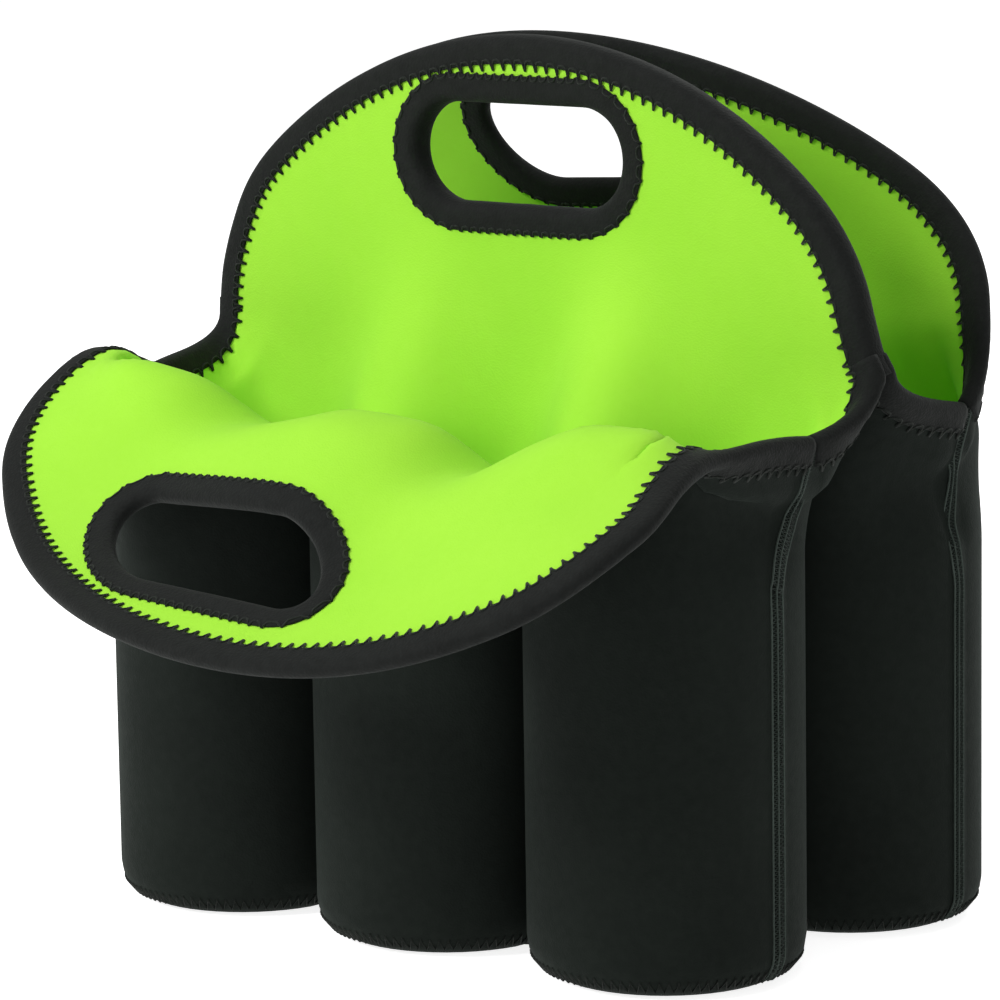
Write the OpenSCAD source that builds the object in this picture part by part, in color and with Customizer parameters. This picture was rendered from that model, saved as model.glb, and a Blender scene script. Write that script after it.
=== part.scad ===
// Six pack carrier in bonded neoprene: two rows of three bottle pockets, with
// three petals that have hand holes. The front petal is folded out, the doubled
// middle petal stands and the rear petal leans in. Millimetres. The origin is on
// the floor, in the middle of the two rows: X runs along the rows, Y to the back.

/* [Pockets] */
// Inside diameter of one bottle pocket
pocket_d = 66.5; // [64:0.5:68]
// Distance from one pocket to the next in a row
pitch = 74; // [74:0.5:78]
// Distance between the middles of the two rows
row_gap = 81; // [80:0.5:86]
// Height of the pocket walls below the folds
wall_h = 131; // [120:1:132]
// Outside radius of the rounded pocket bottoms
bottom_r = 10; // [8:0.5:14]

/* [Sheet] */
// Neoprene foam with its black face
shell_t = 2.75; // [2:0.25:3]
// Lime jersey bonded to the inside
lining_t = 0.75; // [0.5:0.25:1]
// Face width of the edge tape
tape_w = 8; // [6:0.5:10]
// Thickness of one layer of the edge tape
tape_t = 0.75; // [0.5:0.25:1]

/* [Petals] */
// Half of the widest part of a petal
petal_half_w = 117; // [112:1:120]
// Height of the widest part above the notches
petal_wide_at = 19; // [15:1:19]
// Height of a petal above the notches
petal_h = 101.3; // [95:0.1:105]
// Radius of a petal's shoulders
shoulder_r = 60; // [50:1:65]
// Height of the notches between the petals
notch_z = 139; // [138:1:142]
// Where the flat part of a petal starts above the notches
leaf_from = 20; // [20:1:24]

/* [Hand hole] */
// Length of the hand hole
hole_l = 72; // [60:1:80]
// Height of the hand hole
hole_h = 28; // [24:1:32]
// Middle of the hand hole above the notches
hole_at = 68; // [64:1:70]
// Sideways place of the hand hole
hole_x = -3; // [-5:0.5:5]

/* [Folds] */
// How far the front petal is folded out from upright, in degrees
front_open = 126; // [110:1:130]
// How far the rear petal leans in, in degrees
rear_lean = 25; // [15:1:28]
// How much higher the rear petal stands than the others
rear_lift = 5; // [0:0.5:6]

/* [Hidden] */

black = [0.09, 0.11, 0.10];
lime = [0.66, 0.94, 0.24];
sheet_t = shell_t + lining_t;
pocket_r = pocket_d / 2;
row_y = row_gap / 2;
row_half_l = pitch + pocket_r + sheet_t;
row_half_w = pocket_r + sheet_t;
base_r = row_half_w - bottom_r;
fold_gap = 0.3;
eps = 0.01;

// Each petal turns about its crease. The front crease drops a little to the
// right and comes forward there, as the petal is pressed open.
front_crease = [0, -77.6, 147.5];
front_axis = [0.995, -0.032, -0.095];
front_slide = 9;
rear_crease = [0, 75, 146];
rear_axis = [1, 0, 0];

// Flat outline of a petal: a wide crown arc that runs into two shoulder arcs
shoulder_x = petal_half_w - shoulder_r;
crown_rise = petal_h - petal_wide_at;
crown_drop = (pow(shoulder_x, 2) - pow(crown_rise - shoulder_r, 2)) / (2 * (crown_rise - shoulder_r));
crown_r = crown_rise + crown_drop;
crown_centre = [0, petal_wide_at - crown_drop];
join_angle = atan2(crown_drop, shoulder_x);
leaf_angle = asin((leaf_from - petal_wide_at) / shoulder_r);
nose_inset = 2;
slot_play = 0.2;
lap = 0.03;
lap_angle = 0.3;
grip_half = hole_l / 2 - hole_h / 2;

// Folds: steps round each pocket and up the sheet, and where the ends stop short of the tape
lobe_steps = 8;
fold_steps = 5;
end_angle = 30;
crease_reach = 14;
// How far the tape's edge lies above the level of the notches
notch_lift = 2;

function mix(a, b, t) = a + (b - a) * t;
function unit(v) = v / norm(v);
function turned(p, at, axis, angle) = let (a = unit(axis), d = p - at)
    at + d * cos(angle) + cross(a, d) * sin(angle) + a * (a * d) * (1 - cos(angle));
// Points of an arc, without its first one
function arc(c, r, from, to, n) =
    [for (i = [1 : n]) let (w = mix(from, to, i / n)) c + r * [cos(w), sin(w)]];
function bezier(a, b, c, d, t) =
    a * pow(1 - t, 3) + 3 * b * t * pow(1 - t, 2) + 3 * c * t * t * (1 - t) + d * pow(t, 3);

// A petal's own frame: a runs along the crease, s up from the notches and
// k through the sheet, from its lime face to its black face.
function front_point(a, s, k) = turned(
    [a + front_slide, -row_y - pocket_r - k, notch_z + s], front_crease, front_axis, front_open);
function middle_front_point(a, s, k) = [a, k - sheet_t, notch_z + s];
function middle_rear_point(a, s, k) = [a, sheet_t - k, notch_z + s];
function rear_point(a, s, k) = turned(
    [a, rear_crease[1] - sheet_t / 2 + k, notch_z + rear_lift + s], rear_crease, rear_axis, rear_lean);
function petal_point(petal, a, s, k) =
    petal == "front" ? front_point(a, s, k)
    : petal == "middle_front" ? middle_front_point(a, s, k)
    : petal == "middle_rear" ? middle_rear_point(a, s, k)
    : rear_point(a, s, k);

// One row of three pockets with the seams between them, out to a depth k of the
// sheet, as one solid that is rounded at the bottom
module row_core(k) {
    r = pocket_r + k;
    foot_r = bottom_r - sheet_t + k;
    foot_z = sheet_t - k;
    for (i = [-1 : 1]) translate([i * pitch, 0, 0]) rotate_extrude($fn = 96) union() {
        translate([0, foot_z]) square([r - foot_r, wall_h]);
        translate([0, foot_z + foot_r]) square([r, wall_h]);
        translate([r - foot_r, foot_z + foot_r]) circle(foot_r, $fn = 64);
    }
    if (k > 0) translate([-pitch, -k, bottom_r]) cube([2 * pitch, 2 * k, wall_h]);
}

// One panel of a row between two depths of the sheet: side is -1 for the panel
// in front of the pockets and 1 for the one behind them
module panel(row, side, from, to) {
    translate([0, row * row_y, 0]) intersection() {
        difference() {
            row_core(to);
            row_core(from);
            for (i = [-1 : 1]) translate([i * pitch, 0, -1])
                cylinder(h = sheet_t + 1 + eps, r = base_r, $fn = 96);
        }
        translate([-row_half_l - 1, side < 0 ? -row_half_w - 1 : 0, -1])
            cube([2 * row_half_l + 2, row_half_w + 1, wall_h + 1]);
    }
}

module base(row, i, from, to) {
    translate([i * pitch, row * row_y, sheet_t - to])
        cylinder(h = to - from, r = base_r - slot_play / 2, $fn = 96);
}

// The fold of a panel, from the scalloped top of its wall to its flat petal.
// Columns run round the three pockets and stop short of the edge tape.
fold_columns = [for (i = [-1 : 1], j = [0 : lobe_steps])
    [i, mix(i < 0 ? end_angle : 0, i > 0 ? 180 - end_angle : 180, j / lobe_steps)]];
function wall_top(row, side, column, k) = let (r = pocket_r + k)
    [column[0] * pitch - r * cos(column[1]),
     row * row_y + side * max(r * sin(column[1]), k), wall_h + fold_gap];
function fold_point(row, side, petal, column, t, k) = let (
    start = wall_top(row, side, column, k),
    a = column[0] * pitch - (pocket_r + sheet_t / 2) * cos(column[1]),
    full = sin(column[1]),
    rise = start + [0, side * 12 * (1 - full), mix(6, crease_reach, full)],
    reach = petal_point(petal, a, leaf_from - crease_reach, k),
    end = petal_point(petal, a, leaf_from - fold_gap, k)
) bezier(start, rise, reach, end, t);

// A closed sheet between two grids of points of the same size
module sheet_solid(below, above) {
    rows = len(below);
    columns = len(below[0]);
    count = rows * columns;
    function at(i, j, layer) = layer * count + i * columns + j;
    points = concat([for (line = below) each line], [for (line = above) each line]);
    faces = concat(
        [for (i = [0 : rows - 2], j = [0 : columns - 2]) each [
            [at(i, j, 0), at(i, j + 1, 0), at(i + 1, j + 1, 0)],
            [at(i, j, 0), at(i + 1, j + 1, 0), at(i + 1, j, 0)],
            [at(i, j, 1), at(i + 1, j + 1, 1), at(i, j + 1, 1)],
            [at(i, j, 1), at(i + 1, j, 1), at(i + 1, j + 1, 1)]]],
        [for (i = [0 : rows - 2], j = [0, columns - 1]) let (q = j == 0
            ? [at(i, j, 0), at(i + 1, j, 0), at(i + 1, j, 1), at(i, j, 1)]
            : [at(i, j, 1), at(i + 1, j, 1), at(i + 1, j, 0), at(i, j, 0)])
            each [[q[0], q[1], q[2]], [q[0], q[2], q[3]]]],
        [for (j = [0 : columns - 2], i = [0, rows - 1]) let (q = i == 0
            ? [at(i, j, 1), at(i, j + 1, 1), at(i, j + 1, 0), at(i, j, 0)]
            : [at(i, j, 0), at(i, j + 1, 0), at(i, j + 1, 1), at(i, j, 1)])
            each [[q[0], q[1], q[2]], [q[0], q[2], q[3]]]]);
    polyhedron(points, faces, convexity = 6);
}

module fold(row, side, petal, from, to) {
    grid = [for (k = side < 0 ? [from, to] : [to, from]) [for (i = [0 : fold_steps])
        [for (column = fold_columns) fold_point(row, side, petal, column, i / fold_steps, k)]]];
    sheet_solid(grid[0], grid[1]);
}

// Flat petal: its outline, its hand hole and its sheet between two depths
function petal_outline(inset) = let (r = shoulder_r - inset) concat(
    [[shoulder_x + r * cos(leaf_angle), leaf_from]],
    arc([shoulder_x, petal_wide_at], r, leaf_angle, join_angle, 8),
    arc(crown_centre, crown_r - inset, join_angle, 180 - join_angle, 28),
    arc([-shoulder_x, petal_wide_at], r, 180 - join_angle, 180 - leaf_angle, 8));
function hole_outline(r) = concat(
    [[hole_x + grip_half, hole_at - r]], arc([hole_x + grip_half, hole_at], r, -90, 90, 14),
    [[hole_x - grip_half, hole_at + r]], arc([hole_x - grip_half, hole_at], r, 90, 270, 14));

module petal_ply(from, to) {
    translate([0, 0, from]) difference() {
        linear_extrude(to - from) polygon(petal_outline(nose_inset));
        translate([0, 0, -1]) linear_extrude(to - from + 2)
            polygon(hole_outline(hole_h / 2 + nose_inset + slot_play));
    }
}

// Section of the tape that is folded over an edge: its nose at 0, its legs
// along +X on both faces of a sheet of thickness t. slim takes a hair off it.
module tape_section(t, slim = 0) {
    nose_r = t / 2 + tape_t;
    difference() {
        union() {
            translate([nose_r, t / 2]) circle(nose_r - slim, $fn = 32);
            translate([nose_r, slim - tape_t])
                square([tape_w - nose_r - slim, t + 2 * tape_t - 2 * slim]);
        }
        translate([nose_inset - slim, -slim]) square([tape_w, t + 2 * slim]);
    }
}

module edge_tape_arc(c, r, from, to, t, slim = 0) {
    translate([c[0], c[1], 0]) rotate([0, 0, from]) rotate_extrude(angle = to - from, $fn = 96)
        translate([r, 0]) mirror([1, 0]) tape_section(t, slim);
}

// The crown run is a hair slimmer, so that it laps cleanly into the shoulder runs
module edge_tape(t) {
    edge_tape_arc([shoulder_x, petal_wide_at], shoulder_r, leaf_angle, join_angle, t);
    edge_tape_arc(crown_centre, crown_r, join_angle - lap_angle, 180 - join_angle + lap_angle, t, lap);
    edge_tape_arc([-shoulder_x, petal_wide_at], shoulder_r, 180 - join_angle, 180 - leaf_angle, t);
}

module handle_tape(t) {
    translate([hole_x, hole_at, 0]) for (turn = [0, 180]) rotate([0, 0, turn]) {
        translate([grip_half, 0, 0]) rotate([0, 0, -90]) rotate_extrude(angle = 180, $fn = 96)
            translate([hole_h / 2, 0]) tape_section(t);
        translate([-grip_half, hole_h / 2, 0]) rotate([90, 0, 90]) linear_extrude(2 * grip_half)
            tape_section(t);
    }
}

// Places of the petals: a flat petal stands up with its black face to the front
module stand() { rotate([90, 0, 0]) children(); }
module in_front_petal() {
    translate(front_crease) rotate(a = front_open, v = front_axis) translate(-front_crease)
        translate([front_slide, -row_y - pocket_r, notch_z]) stand() children();
}
module in_middle_petal() { translate([0, 0, notch_z]) stand() children(); }
module in_rear_petal() {
    translate(rear_crease) rotate([rear_lean, 0, 0]) translate(-rear_crease)
        translate([0, rear_crease[1] - sheet_t / 2, notch_z + rear_lift])
            mirror([0, 1, 0]) stand() children();
}

// The tape runs on from a petal through the notch to the middle petal. Its
// section starts at the nose, and it turns from lying across the petal to
// standing on the sheet in the notch, then back. It thins into half the
// binding of the doubled middle petal.
notch_steps = 16;
tape_half_t = sheet_t / 2 + tape_t;
tape_half_end = sheet_t / 2 + 0.3;
function notch_dip(row, end) = [end * (pitch + pocket_r + sheet_t / 2), row * row_y, notch_z + notch_lift];
function notch_start(petal, end, s) =
    petal_point(petal, end * (shoulder_x + shoulder_r * cos(leaf_angle)), s, sheet_t / 2);
function notch_path(petal, row, end, t) = let (
    start = notch_start(petal, end, leaf_from - fold_gap),
    leave = unit(notch_start(petal, end, leaf_from - crease_reach) - start),
    dip = notch_dip(row, end),
    edge = notch_start("middle_front", end, leaf_from - fold_gap),
    finish = [edge[0], row * (tape_half_end + slot_play), edge[2]]
) t < 0.5
    ? bezier(start, start + leave * 20, dip + [0, row * 24, 0], dip, 2 * t)
    : bezier(dip, dip - [0, row * 14, 0], finish - [0, 0, 12], finish, 2 * t - 1);
function notch_ahead(petal, row, end, t) =
    unit(notch_path(petal, row, end, min(t + 0.005, 1)) - notch_path(petal, row, end, max(t - 0.005, 0)));
function notch_wide(petal, row, end, t) = let (
    across = unit(notch_start(petal, 0, leaf_from) - notch_start(petal, end, leaf_from)),
    ahead = notch_ahead(petal, row, end, t),
    wide = mix(t < 0.5 ? across : [-end, 0, 0], [0, 0, -1], pow(sin(180 * t), 2))
) unit(wide - ahead * (ahead * wide));
module notch_tape(petal, row, end) {
    rings = [for (i = [0 : notch_steps]) let (
        t = i / notch_steps,
        wide = notch_wide(petal, row, end, t),
        thick = cross(notch_ahead(petal, row, end, t), wide),
        half = mix(tape_half_t, tape_half_end, max(2 * t - 1, 0)),
        profile = [[0, -half / 2], [1.5, -half], [tape_w, -half], [tape_w, half], [1.5, half], [0, half / 2]]
    ) [for (p = profile) notch_path(petal, row, end, t) + wide * p[0] + thick * p[1]]];
    n = len(rings[0]);
    polyhedron(
        points = [for (ring = rings) each ring],
        faces = concat(
            [[for (j = [n - 1 : -1 : 0]) j]],
            [for (i = [0 : notch_steps - 1], j = [0 : n - 1]) each [
                [i * n + j, i * n + (j + 1) % n, (i + 1) * n + (j + 1) % n],
                [i * n + j, (i + 1) * n + (j + 1) % n, (i + 1) * n + j]]],
            [[for (j = [0 : n - 1]) notch_steps * n + j]]),
        convexity = 6);
}

module front_outer_shell() { color(black) panel(-1, -1, lining_t, sheet_t); }
module front_outer_lining() { color(lime) panel(-1, -1, 0, lining_t); }
module front_inner_shell() { color(black) panel(-1, 1, lining_t, sheet_t); }
module front_inner_lining() { color(lime) panel(-1, 1, 0, lining_t); }
module rear_inner_shell() { color(black) panel(1, -1, lining_t, sheet_t); }
module rear_inner_lining() { color(lime) panel(1, -1, 0, lining_t); }
module rear_outer_shell() { color(black) panel(1, 1, lining_t, sheet_t); }
module rear_outer_lining() { color(lime) panel(1, 1, 0, lining_t); }

module front_left_base() { color(black) base(-1, -1, lining_t, sheet_t); }
module front_centre_base() { color(black) base(-1, 0, lining_t, sheet_t); }
module front_right_base() { color(black) base(-1, 1, lining_t, sheet_t); }
module rear_left_base() { color(black) base(1, -1, lining_t, sheet_t); }
module rear_centre_base() { color(black) base(1, 0, lining_t, sheet_t); }
module rear_right_base() { color(black) base(1, 1, lining_t, sheet_t); }
module front_base_linings() { color(lime) for (i = [-1 : 1]) base(-1, i, 0, lining_t); }
module rear_base_linings() { color(lime) for (i = [-1 : 1]) base(1, i, 0, lining_t); }

module front_fold_shell() { color(black) fold(-1, -1, "front", lining_t, sheet_t); }
module front_fold_lining() { color(lime) fold(-1, -1, "front", 0, lining_t); }
module middle_front_fold_shell() { color(black) fold(-1, 1, "middle_front", lining_t, sheet_t); }
module middle_front_fold_lining() { color(lime) fold(-1, 1, "middle_front", 0, lining_t); }
module middle_rear_fold_shell() { color(black) fold(1, -1, "middle_rear", lining_t, sheet_t); }
module middle_rear_fold_lining() { color(lime) fold(1, -1, "middle_rear", 0, lining_t); }
module rear_fold_shell() { color(black) fold(1, 1, "rear", lining_t, sheet_t); }
module rear_fold_lining() { color(lime) fold(1, 1, "rear", 0, lining_t); }

module front_left_notch_tape() { color(black) notch_tape("front", -1, -1); }
module front_right_notch_tape() { color(black) notch_tape("front", -1, 1); }
module rear_left_notch_tape() { color(black) notch_tape("rear", 1, -1); }
module rear_right_notch_tape() { color(black) notch_tape("rear", 1, 1); }

module front_petal_shell() { color(black) in_front_petal() petal_ply(lining_t, sheet_t); }
module front_petal_lining() { color(lime) in_front_petal() petal_ply(0, lining_t); }
module front_edge_tape() { color(black) in_front_petal() edge_tape(sheet_t); }
module front_handle_tape() { color(black) in_front_petal() handle_tape(sheet_t); }

module middle_petal_front_lining() { color(lime) in_middle_petal() petal_ply(shell_t, sheet_t); }
module middle_petal_front_shell() { color(black) in_middle_petal() petal_ply(0, shell_t); }
module middle_petal_rear_shell() { color(black) in_middle_petal() petal_ply(-shell_t, 0); }
module middle_petal_rear_lining() { color(lime) in_middle_petal() petal_ply(-sheet_t, -shell_t); }
module middle_edge_tape() {
    color(black) in_middle_petal() translate([0, 0, -sheet_t]) edge_tape(2 * sheet_t);
}
module middle_handle_tape() {
    color(black) in_middle_petal() translate([0, 0, -sheet_t]) handle_tape(2 * sheet_t);
}

module rear_petal_shell() { color(black) in_rear_petal() petal_ply(lining_t, sheet_t); }
module rear_petal_lining() { color(lime) in_rear_petal() petal_ply(0, lining_t); }
module rear_edge_tape() { color(black) in_rear_petal() edge_tape(sheet_t); }
module rear_handle_tape() { color(black) in_rear_petal() handle_tape(sheet_t); }

front_outer_shell();
front_outer_lining();
front_inner_shell();
front_inner_lining();
rear_inner_shell();
rear_inner_lining();
rear_outer_shell();
rear_outer_lining();
front_left_base();
front_centre_base();
front_right_base();
rear_left_base();
rear_centre_base();
rear_right_base();
front_base_linings();
rear_base_linings();
front_fold_shell();
front_fold_lining();
middle_front_fold_shell();
middle_front_fold_lining();
middle_rear_fold_shell();
middle_rear_fold_lining();
rear_fold_shell();
rear_fold_lining();
front_left_notch_tape();
front_right_notch_tape();
rear_left_notch_tape();
rear_right_notch_tape();
front_petal_shell();
front_petal_lining();
front_edge_tape();
front_handle_tape();
middle_petal_front_shell();
middle_petal_front_lining();
middle_petal_rear_shell();
middle_petal_rear_lining();
middle_edge_tape();
middle_handle_tape();
rear_petal_shell();
rear_petal_lining();
rear_edge_tape();
rear_handle_tape();
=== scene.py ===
"""Six pack carrier: its bonded sheets, folded tapes, seams and threads.

Each panel is one sheet of foam between two knit faces. It runs from the base of a pocket
up the wall, over the fold and out to the edge of its petal. Lengths in the functions are
millimetres in the frame of the CAD, with X along the rows, Y to the back and Z up.
"""

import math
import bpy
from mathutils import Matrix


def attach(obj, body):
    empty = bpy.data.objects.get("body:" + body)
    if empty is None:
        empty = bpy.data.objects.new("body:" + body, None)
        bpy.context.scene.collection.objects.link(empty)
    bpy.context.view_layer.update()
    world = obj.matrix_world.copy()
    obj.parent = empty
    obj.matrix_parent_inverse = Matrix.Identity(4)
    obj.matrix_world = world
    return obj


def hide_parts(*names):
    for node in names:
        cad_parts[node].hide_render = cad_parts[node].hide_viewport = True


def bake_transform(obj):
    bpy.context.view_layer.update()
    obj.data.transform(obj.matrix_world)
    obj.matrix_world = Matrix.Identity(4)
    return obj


bl_info = {
    "name": "Six pack carrier",
    "version": (1, 0, 0),
    "blender": (4, 5, 0),
    "location": "3D View > Sidebar > Carrier",
    "description": "Makes the sheets, tapes and threads of a neoprene six pack carrier",
    "category": "Add Mesh",
}

import bpy
import numpy as np
from mathutils import Matrix, Vector
from mathutils.bvhtree import BVHTree

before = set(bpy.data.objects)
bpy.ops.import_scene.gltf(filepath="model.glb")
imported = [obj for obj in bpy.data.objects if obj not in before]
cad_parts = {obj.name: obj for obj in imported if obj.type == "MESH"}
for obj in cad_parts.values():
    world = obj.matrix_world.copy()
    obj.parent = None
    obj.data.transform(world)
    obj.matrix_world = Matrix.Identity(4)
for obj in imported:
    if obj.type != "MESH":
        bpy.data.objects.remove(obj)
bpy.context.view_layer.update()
MM = 0.001

# Pockets, as the middle of the sheet
PITCH = 74.0
ROW_Y = 40.5
TUBE_R = 35.0
FOOT_R = 26.75
FOOT_ARC = 8.25
FOOT_H = 10.0
SEAM_TOP = 112.0

# Half of a sheet's thickness, and half the distance between the middles of the two sheets that
# make the middle petal
HALF_SHEET = 1.75
HALF_PAIR = 1.85

# Flat pattern of a petal: side is up from the notch, across is along the crease
NOTCH_Z = 139.0
PETAL_HALF = 117.0
WIDE_AT = 19.0
PETAL_H = 101.3
SHOULDER_R = 60.0
HOLE_X = -3.0
HOLE_AT = 68.0
HOLE_HALF = 36.0
HOLE_R = 14.0

# A sheet's grid: steps across a pocket, and rows up its foot, its wall and all that is above.
# CORNER is where along the row the petal is widest, counted in pockets from the other end
ACROSS_STEPS = 24
FOOT_ROWS = 5
WALL_ROWS = 11
TOP_ROWS = 46
LOW_ROWS = FOOT_ROWS + WALL_ROWS
CORNER = 2.64


def unit(v):
    v = np.asarray(v, float)
    return v / np.maximum(np.linalg.norm(v, axis=-1, keepdims=True), 1e-9)


def smooth(t):
    t = np.clip(t, 0, 1)
    return t * t * (3 - 2 * t)


def flowing(keys, x):
    """A curve through (x, value) keys that rounds each high and low and never overshoots."""
    xs = np.array([k[0] for k in keys], float)
    ys = np.array([k[1] for k in keys], float).reshape(len(keys), -1)
    h = np.diff(xs)[:, None]
    d = np.diff(ys, axis=0) / h
    m = np.zeros_like(ys)
    m[0], m[-1] = d[0], d[-1]
    near, far = d[:-1], d[1:]
    w1, w2 = 2 * h[1:] + h[:-1], h[1:] + 2 * h[:-1]
    safe = np.where(near * far > 0, 1, 0)
    bottom = w1 * far + w2 * near
    bottom = np.where(safe > 0, bottom, 1)
    m[1:-1] = np.where(safe > 0, (w1 + w2) * near * far / bottom, 0)
    x = np.atleast_1d(np.asarray(x, float))
    i = np.clip(np.searchsorted(xs, x) - 1, 0, len(xs) - 2)
    t = (x - xs[i])[:, None] / h[i]
    a, b = ys[i], ys[i + 1]
    return (
        a * (1 + 2 * t) * (1 - t) ** 2
        + m[i] * h[i] * t * (1 - t) ** 2
        + b * t * t * (3 - 2 * t)
        - m[i + 1] * h[i] * t * t * (1 - t)
    )


def bezier(a, b, c, d, t):
    """The point at t, from 0 to 1, of the curve from a to d that b and c draw out."""
    a, b, c, d = (np.asarray(p, float) for p in (a, b, c, d))
    return a * (1 - t) ** 3 + 3 * b * t * (1 - t) ** 2 + 3 * c * t * t * (1 - t) + d * t**3


def lengths(path):
    """Distance along a path to each of its points."""
    return np.concatenate([[0], np.cumsum(np.linalg.norm(np.diff(path, axis=0), axis=1))])


def along_path(at, length, path):
    """Points of a path at distances along it."""
    return np.stack([np.interp(at, length, path[:, k]) for k in range(path.shape[1])], -1)


def span(p, dp, q, dq, n):
    """n points from p on, towards q, that leave along dp and arrive along dq."""
    t = (np.arange(n) / n)[:, None]
    return (
        p * (1 + 2 * t) * (1 - t) ** 2
        + dp * t * (1 - t) ** 2
        + q * t * t * (3 - 2 * t)
        - dq * t * t * (1 - t)
    )


# Outline of a petal, by the distance along it from its widest point to its tip
_across = PETAL_HALF - SHOULDER_R
_rise = PETAL_H - WIDE_AT
_drop = (_across**2 - (_rise - SHOULDER_R) ** 2) / (2 * (_rise - SHOULDER_R))
_crown_r = _rise + _drop
_join = math.atan2(_drop, _across)
SHOULDER_L = SHOULDER_R * _join
HALF_OUTLINE = SHOULDER_L + _crown_r * (math.pi / 2 - _join)


def outline(beta, end):
    """Flat place on the outline; below its widest point it narrows towards the notch."""
    if beta < 0:
        t = min(-beta / WIDE_AT, 1.3)
        return end * (PETAL_HALF - 6 * t * t), WIDE_AT - WIDE_AT * t
    if beta < SHOULDER_L:
        w = beta / SHOULDER_R
        return end * (_across + SHOULDER_R * math.cos(w)), WIDE_AT + SHOULDER_R * math.sin(w)
    w = _join + (beta - SHOULDER_L) / _crown_r
    return end * _crown_r * math.cos(w), WIDE_AT - _drop + _crown_r * math.sin(w)


# Each surface takes a flat place, a across and s up, to its point on the petal as it hangs.
# The front petal lies open. It drops to the right, and arches from its crest to its lip
FRONT_AT = np.array([-4.3, -125.5, 112.0])
FRONT_A = unit([0.989, -0.117, -0.091])
FRONT_S = unit([-0.148, -0.76, -0.633])
FRONT_N = unit(np.cross(FRONT_A, FRONT_S))
FRONT_BEND_WAY = math.radians(6.3)
_run = np.linspace(-130, 130, 521)
_lean = -0.0069 * _run - 0.000173 * _run**2
_along = np.cumsum(np.cos(_lean)) * 0.5
_off = np.cumsum(np.sin(_lean)) * 0.5
_along -= _along[len(_run) // 2]
_off -= _off[len(_run) // 2]


def front_surface(a, s):
    x, y = a - HOLE_X, s - HOLE_AT
    c, w = math.cos(FRONT_BEND_WAY), math.sin(FRONT_BEND_WAY)
    along = np.interp(y * c - x * w, _run, _along)
    off = np.interp(y * c - x * w, _run, _off)
    level, down = FRONT_A * c + FRONT_S * w, FRONT_S * c - FRONT_A * w
    curl = 7.0 * smooth((-a - 70) / 50) * smooth((60 - s) / 50)
    return FRONT_AT + (x * c + y * w) * level + along * down + (off + curl) * FRONT_N


def middle_surface(side):
    """The upright petal, whose two sheets lie on either side of its middle."""

    def place(a, s):
        right = smooth((a + 60) / 120)
        lean = 4.5 * right * smooth((s - 8) / 25) + 3.0 * (1 - right) * smooth((s - 40) / 30)
        return np.array([a - lean, side * HALF_PAIR, NOTCH_Z + s])

    return place


def rear_surface(a, s):
    """The rear petal leans in, and its lower corners bow forward."""
    bow = 35 * (a / 111) ** 2 * max(0.0, 1 - s / 71) ** 2
    slope = 0.3 + 0.1 * s / 100
    y = 75.75 - bow - 0.3 * s - 0.1 * s * s / 100 + 0.1 * a * s / 68
    return np.array([a - 18 * s / 68, y, 144.2 + s * math.cos(math.atan(slope))])


def wall_place(row, side, q):
    """Where the wall of a panel stands: q runs 0 to 3 along the three pockets."""
    tube = min(int(q), 2)
    angle = math.pi * (q - tube)
    out = TUBE_R * math.sin(angle)
    if 0.5 < q < 2.5:
        out = max(out, HALF_SHEET)
    return np.array([(tube - 1) * PITCH - TUBE_R * math.cos(angle), row * ROW_Y + side * out])


# Where the end seams of the rows run below the notches, as (height, (x, y)); the last is the notch
FRONT_SEAM = [(104, (109, -40.8)), (112, (107.6, -37.2)), (121, (106.6, -31.8)),
              (130, (109, -29.2)), (143, (112.5, -28))]
FRONT_LEFT_SEAM = [(104, (-109, -40.5)), (121, (-106.8, -39)), (133, (-107.8, -38)),
                   (147, (-110, -37.5))]
REAR_SEAM = [(104, (108.6, 39.5)), (112, (106.4, 40)), (125, (106.8, 41)), (143.5, (111.5, 41.5))]
REAR_LEFT_SEAM = [(104, (-108.6, 39.5)), (112, (-106.8, 40)), (125, (-107.4, 41)), (144, (-111, 41.5))]


def seam_point(keys, z):
    x, y = flowing(keys, z)[0]
    return np.array([x, y, z])


def notch(keys):
    """The notch at the upper end of a seam."""
    z, (x, y) = keys[-1]
    return x, y, z


class Sheet:
    """A grid of points with their flat places. Its black face looks to side, -1 front or 1 back."""

    def __init__(self, points, flat, side, q):
        self.points, self.flat, self.side, self.q = points, flat, side, q

    def normals(self):
        """Normals that point out of the black face."""
        n = np.cross(np.gradient(self.points, axis=0), np.gradient(self.points, axis=1))
        return unit(n * (1 if self.side < 0 else -1))


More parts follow.
